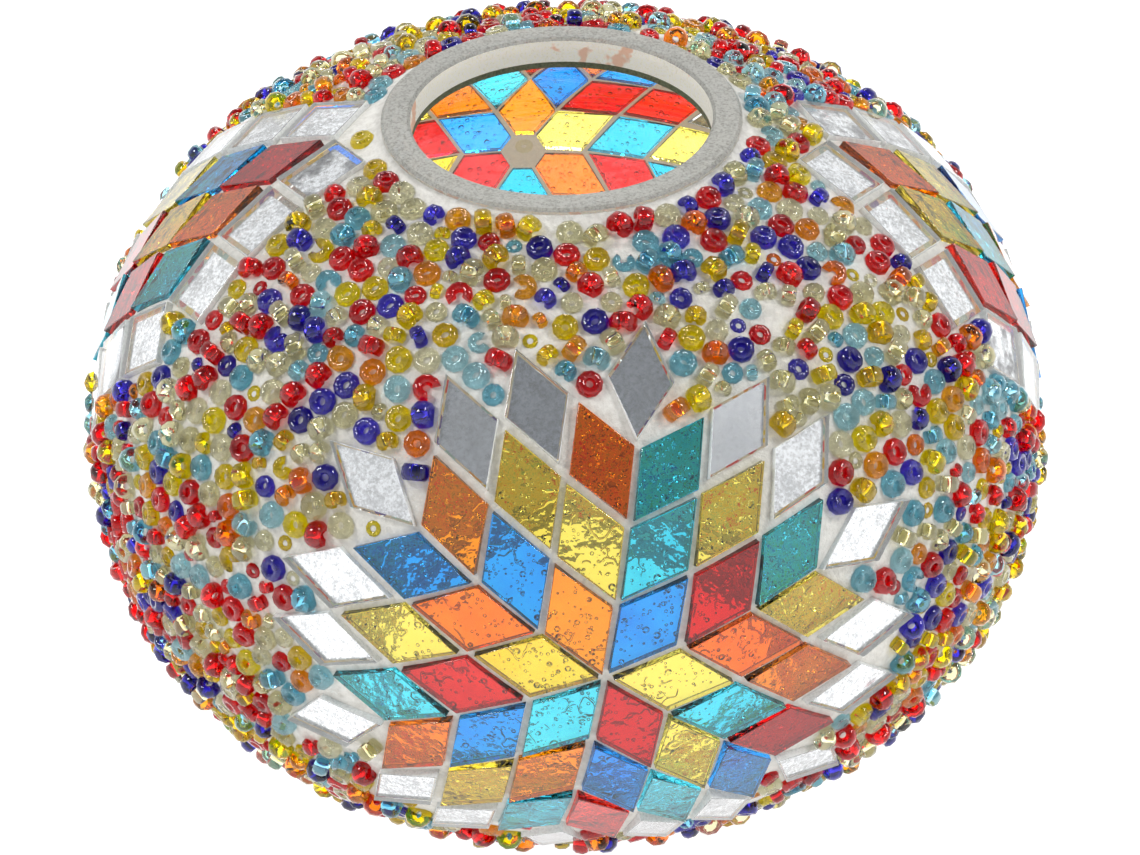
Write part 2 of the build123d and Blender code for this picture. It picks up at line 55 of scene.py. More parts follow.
# Face areas that tell a tile's broad faces from its nipped edges.
NARROW_AREA = 3.0 * MM * MM
TILE_BACK_AREA = 6.0 * MM * MM
MIRROR_FACE_AREA = 40.0 * MM * MM

# How far a face may lie off the radius or height that marks its finish.
SLACK = 0.05 * MM

LOG = logging.getLogger("lamp_shade")

Colour = tuple[float, float, float]

# How far each motif's silvering stays inside its mirrors' edges, in millimetres.
MIRROR_BORDERS = {"front_star": 0.4, "rear_star": 0.4, "left_diamond": 1.1, "right_diamond": 1.1}


def srgb(red: float, green: float, blue: float) -> Colour:
    """Linear colour from a screen colour of 0 to 255.

    Args:
        red: Screen red.
        green: Screen green.
        blue: Screen blue.

    Returns:
        The linear red, green and blue.
    """
    found = []
    for part in (red, green, blue):
        share = part / 255.0
        found.append(share / 12.92 if share <= 0.04045 else ((share + 0.055) / 1.055) ** 2.4)
    return (found[0], found[1], found[2])


class Hue(Enum):
    """The colours of sheet glass that the tiles are cut from."""

    RED = "red"
    ORANGE = "orange"
    YELLOW = "yellow"
    TURQUOISE = "turquoise"
    BLUE = "blue"


class BeadHue(Enum):
    """The colours of the seed beads."""

    RED = "red"
    CHAMPAGNE = "champagne"
    AMBER = "amber"
    AQUA = "aqua"
    COBALT = "cobalt"
    ORANGE = "orange"


# ---- node helpers --------------------------------------------------------------------


class Nodes:
    """A short hand for building a material's or a group's node tree."""

    def __init__(self, tree: bpy.types.NodeTree) -> None:
        """Keep the tree that nodes are added to."""
        self.tree = tree

    def add(self, kind: str, **values: object) -> bpy.types.Node:
        """Add a node and set its properties.

        Args:
            kind: Blender's node type name.
            **values: Properties to set on the node.

        Returns:
            The new node.
        """
        node = self.tree.nodes.new(kind)
        for name, value in values.items():
            setattr(node, name, value)
        return node

    def join(self, source: bpy.types.NodeSocket, target: bpy.types.NodeSocket) -> None:
        """Link an output to an input."""
        self.tree.links.new(source, target)

    def maths(
        self, operation: str, first: object, second: object = 0.0, third: object = 0.0
    ) -> bpy.types.NodeSocket:
        """Add a Math node.

        Args:
            operation: The operation's name.
            first: A socket or a number.
            second: A socket or a number.
            third: A socket or a number.

        Returns:
            The node's output.
        """
        node = self.add("ShaderNodeMath", operation=operation)
        for index, value in enumerate((first, second, third)):
            if isinstance(value, bpy.types.NodeSocket):
                self.join(value, node.inputs[index])
            else:
                node.inputs[index].default_value = float(value)
        return node.outputs[0]

    def ramp(self, value: bpy.types.NodeSocket, low: float, high: float) -> bpy.types.NodeSocket:
        """Map a value from low..high to 0..1, with eased ends.

        Args:
            value: The value to map.
            low: What becomes 0.
            high: What becomes 1.

        Returns:
            The mapped value.
        """
        node = self.add("ShaderNodeMapRange", interpolation_type="SMOOTHSTEP")
        self.join(value, node.inputs["Value"])
        node.inputs["From Min"].default_value = low
        node.inputs["From Max"].default_value = high
        return node.outputs["Result"]

    def mix(self, share: object, first: object, second: object) -> bpy.types.NodeSocket:
        """Mix two colours.

        Args:
            share: A socket or a number from 0 to 1.
            first: The colour at 0, as a socket or three numbers.
            second: The colour at 1, as a socket or three numbers.

        Returns:
            The mixed colour.
        """
        node = self.add("ShaderNodeMix", data_type="RGBA")
        if isinstance(share, bpy.types.NodeSocket):
            self.join(share, node.inputs[0])
        else:
            node.inputs[0].default_value = float(share)
        for index, value in ((6, first), (7, second)):
            if isinstance(value, bpy.types.NodeSocket):
                self.join(value, node.inputs[index])
            else:
                node.inputs[index].default_value = (*value, 1.0)
        return node.outputs[2]

    def place(self) -> bpy.types.NodeSocket:
        """The Object coordinates."""
        return self.add("ShaderNodeTexCoord").outputs["Object"]

    def noise(
        self, place: bpy.types.NodeSocket, scale: float, detail: float, rough: float
    ) -> bpy.types.NodeSocket:
        """A noise value over the surface.

        Args:
            place: Coordinates in metres.
            scale: Waves per metre.
            detail: How many octaves.
            rough: How strong the finer octaves are.

        Returns:
            The noise from 0 to 1.
        """
        node = self.add("ShaderNodeTexNoise")
        self.join(place, node.inputs["Vector"])
        node.inputs["Scale"].default_value = scale
        node.inputs["Detail"].default_value = detail
        node.inputs["Roughness"].default_value = rough
        return node.outputs["Fac"]

    def attribute(self, name: str) -> bpy.types.NodeSocket:
        """A number stored on the mesh."""
        return self.add("ShaderNodeAttribute", attribute_name=name).outputs["Fac"]


def new_group(
    name: str, inputs: dict[str, float], outputs: dict[str, str]
) -> tuple[bpy.types.NodeTree, Nodes, bpy.types.Node, bpy.types.Node]:
    """Start a shader node group.

    Args:
        name: The group's name.
        inputs: Number inputs and their defaults.
        outputs: Output names and their socket types.

    Returns:
        The group, its helper, its input node and its output node.
    """
    tree = bpy.data.node_groups.new(name, "ShaderNodeTree")
    for label, value in inputs.items():
        socket = tree.interface.new_socket(label, in_out="INPUT", socket_type="NodeSocketFloat")
        socket.default_value = value
    for label, kind in outputs.items():
        tree.interface.new_socket(label, in_out="OUTPUT", socket_type=kind)
    nodes = Nodes(tree)
    return tree, nodes, nodes.add("NodeGroupInput"), nodes.add("NodeGroupOutput")


def seeded_glass_group() -> bpy.types.NodeTree:
    """Bubbles and wrinkles in hand-made glass, as a height over the surface, with painted shade as a
    dark ring round each bubble.
    """
    inputs = {"Bubble Size": 0.0022, "Bubbles": 1.0, "Wrinkles": 1.0}
    outputs = {"Height": "NodeSocketFloat", "Mask": "NodeSocketFloat"}
    tree, nodes, given, out = new_group("hand_made_glass", inputs, outputs)
    place = nodes.place()
    bubbles, rings = [], []
    for share in (1.0, 0.52):
        size = nodes.maths("MULTIPLY", given.outputs["Bubble Size"], share)
        cells = nodes.add("ShaderNodeTexVoronoi", feature="F1")
        nodes.join(place, cells.inputs["Vector"])
        nodes.join(nodes.maths("DIVIDE", 1.0, size), cells.inputs["Scale"])
        split = nodes.add("ShaderNodeSeparateColor")
        nodes.join(cells.outputs["Color"], split.inputs[0])
        radius = nodes.maths("MULTIPLY_ADD", split.outputs[0], 0.30, 0.10)
        kept = nodes.ramp(split.outputs[1], 0.22, 0.26)
        near = nodes.maths("DIVIDE", cells.outputs["Distance"], radius)
        dome = nodes.maths("MULTIPLY", nodes.ramp(near, 1.0, 0.45), kept)
        bubbles.append(nodes.maths("MULTIPLY", dome, share))
        # Painted shade: a dark ring at each bubble's edge, standing in for the light that the bubble
        # bends away.
        edge = nodes.maths("MULTIPLY", nodes.ramp(near, 0.50, 0.85), nodes.ramp(near, 1.15, 0.90))
        rings.append(nodes.maths("MULTIPLY", edge, kept))
    bubble = nodes.maths("MULTIPLY", nodes.maths("ADD", *bubbles), given.outputs["Bubbles"])
    slow = nodes.noise(place, 150.0, 2.0, 0.45)
    fine = nodes.noise(place, 520.0, 2.0, 0.55)
    bend = nodes.noise(place, 330.0, 1.0, 0.5)
    crease = nodes.ramp(nodes.maths("ABSOLUTE", nodes.maths("SUBTRACT", bend, 0.5)), 0.05, 0.0)
    crease = nodes.maths("MULTIPLY", crease, nodes.ramp(slow, 0.52, 0.62))
    broad, small = nodes.maths("MULTIPLY", slow, 2.4), nodes.maths("MULTIPLY", fine, 0.5)
    wrinkle = nodes.maths("ADD", broad, small)
    wrinkle = nodes.maths("ADD", wrinkle, nodes.maths("MULTIPLY", crease, 0.35))
    wrinkle = nodes.maths("MULTIPLY", wrinkle, given.outputs["Wrinkles"])
    nodes.join(nodes.maths("ADD", bubble, wrinkle), out.inputs["Height"])
    ring = nodes.maths("MAXIMUM", *rings)
    nodes.join(nodes.maths("MULTIPLY", ring, given.outputs["Bubbles"]), out.inputs["Mask"])
    return tree


def speckle_group() -> bpy.types.NodeTree:
    """Fine mineral speckle: a value for colour and a height for grain."""
    inputs = {"Grain Size": 0.0004, "Contrast": 1.0, "Clouds": 0.8}
    outputs = {"Value": "NodeSocketFloat", "Height": "NodeSocketFloat"}
    tree, nodes, given, out = new_group("mineral_speckle", inputs, outputs)
    place = nodes.place()
    frequency = nodes.maths("DIVIDE", 0.35, given.outputs["Grain Size"])
    fine = nodes.add("ShaderNodeTexNoise")
    nodes.join(place, fine.inputs["Vector"])
    nodes.join(frequency, fine.inputs["Scale"])
    fine.inputs["Detail"].default_value = 3.0
    fine.inputs["Roughness"].default_value = 0.65
    broad = nodes.noise(place, 95.0, 3.0, 0.55)
    spread = nodes.maths("SUBTRACT", fine.outputs["Fac"], 0.5)
    grain = nodes.maths("MULTIPLY", spread, given.outputs["Contrast"])
    cloud = nodes.maths("MULTIPLY", nodes.maths("SUBTRACT", broad, 0.5), given.outputs["Clouds"])
    value = nodes.maths("ADD", nodes.maths("MULTIPLY_ADD", grain, 1.1, 0.5), cloud)
    nodes.join(value, out.inputs["Value"])
    nodes.join(nodes.maths("ADD", grain, nodes.maths("MULTIPLY", broad, 1.6)), out.inputs["Height"])
    return tree


GROUPS: dict[str, bpy.types.NodeTree] = {}


class Finish:
    """Base of every finish: one material with a Principled shader."""

    name: str

    def start(self) -> tuple[bpy.types.Material, Nodes, bpy.types.Node]:
        """Make the material, its helper and its shader node."""
        material = bpy.data.materials.new(self.name)
        material.use_nodes = True
        shader = material.node_tree.nodes["Principled BSDF"]
        return material, Nodes(material.node_tree), shader

    @staticmethod
    def bump(
        nodes: Nodes,
        shader: bpy.types.Node,
        height: bpy.types.NodeSocket,
        depth: float,
        strength: float,
    ) -> None:
        """Feed a height to the shader's normal.

        Args:
            nodes: The material's helper.
            shader: The shader node.
            height: The height, about 0 to 1.
            depth: The height of 1, in metres.
            strength: How much of the bump is used.
        """
        node = nodes.add("ShaderNodeBump")
        node.inputs["Strength"].default_value = strength
        node.inputs["Distance"].default_value = depth
        nodes.join(height, node.inputs["Height"])
        nodes.join(node.outputs["Normal"], shader.inputs["Normal"])


@dataclass(frozen=True)
class TileGlass(Finish):
    """Coloured sheet glass: smooth in front, its back bedded in bubbly adhesive, with painted shade
    round the bubbles.
    """

    name: str
    colour: Colour
    deep: Colour
    bedded: bool = False
    wrinkles: float = 0.5

    def build(self) -> bpy.types.Material:
        """Make the material."""
        material, nodes, shader = self.start()
        tone = nodes.attribute("piece_tone")
        mottle = nodes.noise(nodes.place(), 210.0, 2.0, 0.5)
        mottle = nodes.maths("MULTIPLY_ADD", mottle, 0.7, -0.25)
        share = nodes.maths("ADD", nodes.maths("MULTIPLY", tone, 0.75), mottle)
        colour = nodes.mix(nodes.ramp(share, 0.0, 1.0), self.colour, self.deep)
        shader.inputs["Roughness"].default_value = 0.0
        shader.inputs["IOR"].default_value = 1.6
        shader.inputs["Transmission Weight"].default_value = 1.0
        if self.bedded:
            made = nodes.add("ShaderNodeGroup", node_tree=GROUPS["glass"])
            made.inputs["Bubble Size"].default_value = 0.0016
            made.inputs["Wrinkles"].default_value = self.wrinkles
            # Painted shade: the glass darkens toward a deep tone round each bubble's rim.
            shade = tuple(part * 0.35 for part in self.deep)
            colour = nodes.mix(nodes.maths("MULTIPLY", made.outputs["Mask"], 0.65), colour, shade)
            self.bump(nodes, shader, made.outputs["Height"], 0.00055, 1.0)
        else:
            self.bump(nodes, shader, nodes.noise(nodes.place(), 60.0, 1.0, 0.4), 0.00003, 0.5)
        nodes.join(colour, shader.inputs["Base Color"])
        return material


@dataclass(frozen=True)
class BeadGlass(Finish):
    """Drawn bead glass: each bead a little lighter or deeper than its neighbours."""

    name: str
    colour: Colour
    deep: Colour

    def build(self) -> bpy.types.Material:
        """Make the material."""
        material, nodes, shader = self.start()
        tone = nodes.attribute("piece_tone")
        streak = nodes.noise(nodes.place(), 700.0, 1.0, 0.5)
        share = nodes.maths("ADD", tone, nodes.maths("MULTIPLY_ADD", streak, 0.5, -0.25))
        colour = nodes.mix(nodes.ramp(share, 0.0, 1.0), self.colour, self.deep)
        nodes.join(colour, shader.inputs["Base Color"])
        shader.inputs["Roughness"].default_value = 0.04
        shader.inputs["IOR"].default_value = 1.5
        shader.inputs["Transmission Weight"].default_value = 1.0
        self.bump(nodes, shader, nodes.noise(nodes.place(), 700.0, 1.0, 0.4), 0.00014, 0.5)
        return material


@dataclass(frozen=True)
class ClearGlass(Finish):
    """Clear blown or sheet glass."""

    name: str
    colour: Colour
    index: float = 1.5
    waves: float = 0.00004

    def build(self) -> bpy.types.Material:
        """Make the material."""
        material, nodes, shader = self.start()
        tint = nodes.noise(nodes.place(), 30.0, 1.0, 0.4)
        paler = tuple(min(1.0, part * 1.03) for part in self.colour)
        nodes.join(nodes.mix(tint, self.colour, paler), shader.inputs["Base Color"])
        shader.inputs["Roughness"].default_value = 0.0
        shader.inputs["IOR"].default_value = self.index
        shader.inputs["Transmission Weight"].default_value = 1.0
        self.bump(nodes, shader, nodes.noise(nodes.place(), 45.0, 2.0, 0.4), self.waves, 0.6)
        return material


@dataclass(frozen=True)
class GroundGlass(Finish):
    """Sawn and ground glass: matt, grey, finely speckled, with a few rubs of colour and, where set, a
    painted glow in its own colour.
    """

    name: str
    colour: Colour
    dark: Colour
    clear: float = 0.25
    # How strongly the glass glows with painted light in its own colour.
    painted_glow: float = 0.0
    stain: Colour = (0.60, 0.17, 0.02)
    stained: float = 0.0

    def build(self) -> bpy.types.Material:
        """Make the material."""
        material, nodes, shader = self.start()
        speckle = nodes.add("ShaderNodeGroup", node_tree=GROUPS["speckle"])
        speckle.inputs["Grain Size"].default_value = 0.00014
        speckle.inputs["Contrast"].default_value = 1.7
        speckle.inputs["Clouds"].default_value = 0.30
        value = nodes.ramp(speckle.outputs["Value"], 0.1, 0.75)
        plain = nodes.mix(value, self.dark, self.colour)
        rubs = nodes.ramp(nodes.noise(nodes.place(), 85.0, 4.0, 0.6), 0.60, 0.64)
        rubs = nodes.maths("MULTIPLY", rubs, self.stained)
        nodes.join(nodes.mix(rubs, plain, self.stain), shader.inputs["Base Color"])
        nodes.join(nodes.maths("MULTIPLY_ADD", value, -0.25, 0.75), shader.inputs["Roughness"])
        shader.inputs["Transmission Weight"].default_value = self.clear
        # Painted light: the glass glows in its own colour by the given strength.
        shader.inputs["Emission Color"].default_value = (*self.colour, 1.0)
        shader.inputs["Emission Strength"].default_value = self.painted_glow
        shader.inputs["IOR"].default_value = 1.5
        self.bump(nodes, shader, speckle.outputs["Height"], 0.00010, 0.5)
        return material


@dataclass(frozen=True)
class Grout(Finish):
    """Cement grout: pale, matt and slightly grainy, with a painted glow in its own colour that stands
    in for light soaking through it.
    """

    name: str
    colour: Colour
    dark: Colour
    # How strongly the grout glows with painted light in its own colour.
    painted_glow: float = 0.0

    def build(self) -> bpy.types.Material:
        """Make the material."""
        material, nodes, shader = self.start()
        # Painted light: the grout glows in its own colour, standing in for light that passes through
        # the shade.
        shader.inputs["Emission Color"].default_value = (*self.colour, 1.0)
        shader.inputs["Emission Strength"].default_value = self.painted_glow
        speckle = nodes.add("ShaderNodeGroup", node_tree=GROUPS["speckle"])
        speckle.inputs["Grain Size"].default_value = 0.0004
        speckle.inputs["Contrast"].default_value = 0.9
        speckle.inputs["Clouds"].default_value = 0.45
        value = nodes.ramp(speckle.outputs["Value"], 0.12, 0.8)
        nodes.join(nodes.mix(value, self.dark, self.colour), shader.inputs["Base Color"])
        shader.inputs["Roughness"].default_value = 0.85
        self.bump(nodes, shader, speckle.outputs["Height"], 0.00035, 0.8)
        return material


@dataclass(frozen=True)
class Silvering(Finish):
    """Mirror silver seen through its glass, faintly brushed and worn in places."""

    name: str
    colour: Colour
    worn: Colour

    def build(self) -> bpy.types.Material:
        """Make the material."""
        material, nodes, shader = self.start()
        place = nodes.place()
        cloud = nodes.noise(place, 230.0, 5.0, 0.7)
        fine = nodes.noise(place, 1500.0, 3.0, 0.8)
        tone = nodes.attribute("piece_tone")
        wear = nodes.maths("MULTIPLY", nodes.ramp(cloud, 0.42, 0.66), nodes.ramp(tone, 0.78, 0.95))
        broad, small = nodes.maths("MULTIPLY", cloud, 0.45), nodes.maths("MULTIPLY", fine, 0.75)
        mottle = nodes.maths("ADD", broad, small)
        dull = nodes.ramp(mottle, 0.46, 0.74)
        plain = nodes.mix(nodes.maths("MULTIPLY", dull, 0.55), self.colour, self.worn)
        nodes.join(nodes.mix(wear, plain, self.worn), shader.inputs["Base Color"])
        rough = nodes.maths("MULTIPLY_ADD", dull, 0.14, 0.12)
        rough = nodes.maths("ADD", rough, nodes.maths("MULTIPLY", wear, 0.2))
        nodes.join(rough, shader.inputs["Roughness"])
        shader.inputs["Metallic"].default_value = 1.0
        self.bump(nodes, shader, mottle, 0.00002, 0.5)
        return material


@dataclass(frozen=True)
class Stage(Finish):
    """The pale table."""

    name: str
    colour: Colour
    glow: float

    def build(self) -> bpy.types.Material:
        """Make the material."""
        material, nodes, shader = self.start()
        grain = nodes.noise(nodes.place(), 6.0, 2.0, 0.5)
        paler = tuple(min(1.0, part * 1.02) for part in self.colour)
        nodes.join(nodes.mix(grain, self.colour, paler), shader.inputs["Base Color"])
        shader.inputs["Roughness"].default_value = 0.9
        shader.inputs["Emission Color"].default_value = (1.0, 1.0, 1.0, 1.0)
        shader.inputs["Emission Strength"].default_value = self.glow
        return material


# ---- pieces --------------------------------------------------------------------------


def publish(name: str, mesh: bpy.types.Mesh, replaced: list[str]) -> bpy.types.Object:
    """Put a finished mesh in the scene as a piece of the shade.

    Args:
        name: The piece's name.
        mesh: Its mesh, already in place.
        replaced: The CAD nodes that it stands for.

    Returns:
        The new object.
    """
    piece = bpy.data.objects.new(name, mesh)
    bpy.context.scene.collection.objects.link(piece)
    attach(piece, BODY)
    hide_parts(*replaced)
    LOG.info("%s: %d faces", name, len(mesh.polygons))
    return piece


def merged_copy(node: str) -> bmesh.types.BMesh:
    """A CAD node's mesh with its loose triangles joined.

    Args:
        node: The CAD node's name.

    Returns:
        A new bmesh.
    """
    shape = bmesh.new()
    shape.from_mesh(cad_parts[node].data)
    bmesh.ops.remove_doubles(shape, verts=shape.verts, dist=1e-6)
    return shape


def corners_of(mesh: bpy.types.Mesh) -> np.ndarray:
    """The places of a mesh's vertices, one row for each."""
    places = np.empty(len(mesh.vertices) * 3)
    mesh.vertices.foreach_get("co", places)
    return places.reshape(-1, 3)


def solids(node: str) -> list[np.ndarray]:
    """Split a CAD node into its separate solids.

    Args:
        node: The CAD node's name.

    Returns:
        For each solid, its triangles' corners.
    """
    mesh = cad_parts[node].data
    used = np.empty(len(mesh.loops), np.int32)
    mesh.loops.foreach_get("vertex_index", used)
    corners = corners_of(mesh)[used]
    grid = np.round(corners / (0.001 * MM)).astype(np.int64)
    _, shared = np.unique(grid @ np.array([1, 1 << 20, 1 << 40]), return_inverse=True)
    shared = shared.reshape(-1, 3)
    owner = np.arange(shared.max() + 1)
    spread = None
    while spread is None or not np.array_equal(spread, owner):
        owner = owner if spread is None else spread
        spread = owner.copy()
        np.minimum.at(spread, shared.ravel(), np.repeat(owner[shared].min(axis=1), 3))
    belongs = owner[shared[:, 0]]
    order = np.argsort(belongs, kind="stable")
    starts = np.flatnonzero(np.diff(belongs[order])) + 1
    return np.split(corners.reshape(-1, 3, 3)[order], starts)


@dataclass
class BlownGlobe:
    """The blown glass globe with its two ground collars."""

    radius: float = 77.5 * MM
    half_height: float = 58.0 * MM
    power: float = 2.24
    wall: float = 2.7 * MM
    neck_radius: float = 24.2 * MM
    neck_wall: float = 4.7 * MM
    neck_rise: float = 58.8 * MM
    foot_radius: float = 35.5 * MM
    foot_wall: float = 3.2 * MM
    foot_drop: float = EQUATOR
    chamfer: float = 0.5 * MM
    edge_band: float = 1.1 * MM
    turns: int = 192
    rows: int = 56

    def curve(self, inset: float, top: float, bottom: float) -> list[Vector]:
        """Profile points down one face of the wall.

        Args:
            inset: How far the face lies inside the outer one.
            top: Radius where it meets the neck.
            bottom: Radius where it meets the foot.

        Returns:
            The points, from the neck to the foot.
        """
        wide, tall = self.radius - inset, self.half_height - inset
        start = math.acos((top / wide) ** (self.power / 2.0))
        end = -math.acos((bottom / wide) ** (self.power / 2.0))
        points = []
        for step in range(self.rows + 1):
            angle = start + (end - start) * step / self.rows
            out = wide * math.cos(angle) ** (2.0 / self.power)
            up = math.copysign(tall * abs(math.sin(angle)) ** (2.0 / self.power), angle)
            points.append(Vector((out, 0.0, up + self.foot_drop)))
        return points

    def build(self, finishes: list[bpy.types.Material]) -> bpy.types.Object:
        """Turn the profile and dress its faces.

        Args:
            finishes: The blown glass, the ground rims, the neck's bore and its glassy edge.

        Returns:
            The globe.
        """
        neck_outer = self.neck_radius + self.neck_wall
        foot_outer = self.foot_radius + self.foot_wall
        rim = self.foot_drop + self.neck_rise
        outside = self.curve(0.0, neck_outer, foot_outer)
        inside = self.curve(self.wall, self.neck_radius, self.foot_radius)
        foot = [
            Vector((foot_outer, 0.0, self.chamfer)),
            Vector((foot_outer - self.chamfer, 0.0, 0.0)),
            Vector((self.foot_radius, 0.0, 0.0)),
        ]
        neck = [
            Vector((self.neck_radius, 0.0, inside[0].z + self.edge_band)),
            Vector((self.neck_radius, 0.0, rim - self.chamfer)),
            Vector((self.neck_radius + self.chamfer, 0.0, rim)),
            Vector((neck_outer - self.chamfer, 0.0, rim)),
            Vector((neck_outer, 0.0, rim - self.chamfer)),
        ]
        shape = bmesh.new()
        corners = [shape.verts.new(point) for point in [*outside, *foot, *inside[::-1], *neck]]
        edges = [shape.edges.new((corners[i - 1], corners[i])) for i in range(len(corners))]
        bmesh.ops.spin(
            shape, geom=corners + edges, cent=(0, 0, 0), axis=(0, 0, 1), angle=2 * math.pi,
            steps=self.turns, use_merge=True, use_duplicate=False,
        )
        bmesh.ops.remove_doubles(shape, verts=shape.verts, dist=1e-7)
        bmesh.ops.recalc_face_normals(shape, faces=shape.faces)
        inner_top = inside[0].z
        inner_foot = inside[-1].z - 4.0 * SLACK
        for face in shape.faces:
            middle = face.calc_center_median()
            out = math.hypot(middle.x, middle.y)
            on_neck = middle.z > inner_top and out < neck_outer - SLACK
            on_foot = middle.z < inner_foot and out < foot_outer + 2.0 * SLACK
            face.material_index = 1 if on_neck or on_foot else 0
            if on_neck and out < self.neck_radius + SLACK:
                face.material_index = 3 if middle.z < inner_top + self.edge_band else 2
            face.smooth = True
        mesh = bpy.data.meshes.new("blown_glass_globe")
        shape.to_mesh(mesh)
        shape.free()
        for finish in finishes:
            mesh.materials.append(finish)
        mesh.set_sharp_from_angle(angle=math.radians(28))
        return publish("blown_glass_globe", mesh, ["glass_globe", "adhesive_film"])


@dataclass
class GroutBed:
    """The grout between the tiles and beads."""

    globe: BlownGlobe
    depth: float = 1.75 * MM
    middle: float = 1.0 * MM
    bared: float = 0.8 * MM

    def build(self, finish: bpy.types.Material, inner: bpy.types.Material) -> bpy.types.Object:
        """Join the CAD coat's triangles and smooth its outer face.

        Args:
            finish: The grout as seen from outside.
            inner: The grout as seen through the glass, glowing with painted light.

        Returns:
            The bed.
        """
        shape = merged_copy("grout_coat")
        self.bare_feet(shape)
        mesh = bpy.data.meshes.new("grout_bed")
        shape.to_mesh(mesh)
        shape.free()
        for face in mesh.polygons:
            face.use_smooth = True
        loops = len(mesh.loops)
        place = np.empty(len(mesh.vertices) * 3)
        mesh.vertices.foreach_get("co", place)
        place = place.reshape(-1, 3) - np.array([0.0, 0.0, self.globe.foot_drop])
        corner = np.empty(loops, np.int32)
        mesh.loops.foreach_get("vertex_index", corner)
        face_normal = np.empty(len(mesh.polygons) * 3)
        mesh.polygons.foreach_get("normal", face_normal)
        normal = np.repeat(face_normal.reshape(-1, 3), 3, axis=0)
        wide, tall = self.globe.radius + self.depth, self.globe.half_height + self.depth
        at = place[corner]
        out = np.hypot(at[:, 0], at[:, 1]) + 1e-9
        power = self.globe.power - 1.0
        pull = (out / wide) ** power / wide / out
        rise = np.sign(at[:, 2]) * (np.abs(at[:, 2]) / tall) ** power / tall
        ideal = np.column_stack([at[:, 0] * pull, at[:, 1] * pull, rise])
        ideal = ideal / np.linalg.norm(ideal, axis=1, keepdims=True)
        facing = np.sum(ideal * normal, axis=1)
        smooth = np.abs(facing) > 0.93
        ideal = ideal * np.sign(facing)[:, None]
        normal = np.where(smooth[:, None], ideal, normal)
        mesh.normals_split_custom_set([tuple(row) for row in normal])
        turned_in = (facing[::3] < -0.5).astype(np.int32)
        mesh.polygons.foreach_set("material_index", turned_in)
        mesh.materials.append(finish)
        mesh.materials.append(inner)
        return publish("grout_bed", mesh, ["grout_coat"])

    def bare_feet(self, shape: bmesh.types.BMesh) -> None:
        """Lift the inner face off the glass, so that the beads' feet show from inside."""
        power = self.globe.power
        wide, tall = self.globe.radius + self.middle, self.globe.half_height + self.middle
        for vert in shape.verts:
            out = math.hypot(vert.co.x, vert.co.y)
            up = vert.co.z - self.globe.foot_drop
            if (out / wide) ** power + (abs(up) / tall) ** power > 1.0:
                continue
            pull = (out / wide) ** (power - 1.0) / wide / out
            rise = math.copysign((abs(up) / tall) ** (power - 1.0) / tall, up)
            vert.co += Vector((vert.co.x * pull, vert.co.y * pull, rise)).normalized() * self.bared


class CutGlass:
    """Turns the CAD's plain tiles into cut glass with nipped edges."""

    def __init__(self, nip: float, seed: int) -> None:
        """Keep the size of the nipped edge and the order of the shades."""
        self.nip = nip
        self.random = np.random.default_rng(seed)

    def shape(self, node: str) -> bmesh.types.BMesh:
        """A node's tiles with whole faces and a shade for each.

        Args:
            node: The CAD node of the tiles.

        Returns:
            The tiles' bmesh.
        """
        shape = merged_copy(node)
        bmesh.ops.dissolve_limit(
            shape, angle_limit=math.radians(1.0), verts=shape.verts, edges=shape.edges
        )
        tone = shape.verts.layers.float.new("piece_tone")
        for part in islands(shape):
            shade = float(self.random.uniform())
            for vert in part:
                vert[tone] = shade
        return shape

    @staticmethod
    def backs(shape: bmesh.types.BMesh) -> list[bmesh.types.BMFace]:
        """The broad faces that lie on the globe."""
        shape.normal_update()
        heart = Vector((0.0, 0.0, EQUATOR))
        found = []
        for face in shape.faces:
            inward = heart - face.calc_center_median()
            if face.calc_area() > TILE_BACK_AREA and face.normal.angle(inward) < math.radians(40.0):
                found.append(face)
        return found

    def nipped(self, shape: bmesh.types.BMesh) -> None:
        """Take the sharpness off every edge."""
        bmesh.ops.bevel(
            shape, geom=shape.edges[:], offset=self.nip, affect="EDGES", segments=2,
            profile=0.5, material=-1, clamp_overlap=True,
        )
        for face in shape.faces:
            face.smooth = face.calc_area() < NARROW_AREA


def islands(shape: bmesh.types.BMesh) -> list[list[bmesh.types.BMVert]]:
    """The separate solids of a bmesh, as lists of their vertices.

    Args:
        shape: The bmesh to split.

    Returns:
        One list for each solid.
    """
    shape.verts.index_update()
    seen = [False] * len(shape.verts)
    found = []
    for first in shape.verts:
        if seen[first.index]:
            continue
        seen[first.index] = True
        part, stack = [], [first]
        while stack:
            vert = stack.pop()
            part.append(vert)
            for edge in vert.link_edges:
                other = edge.other_vert(vert)
                if not seen[other.index]:
                    seen[other.index] = True
                    stack.append(other)
        found.append(part)
    return found


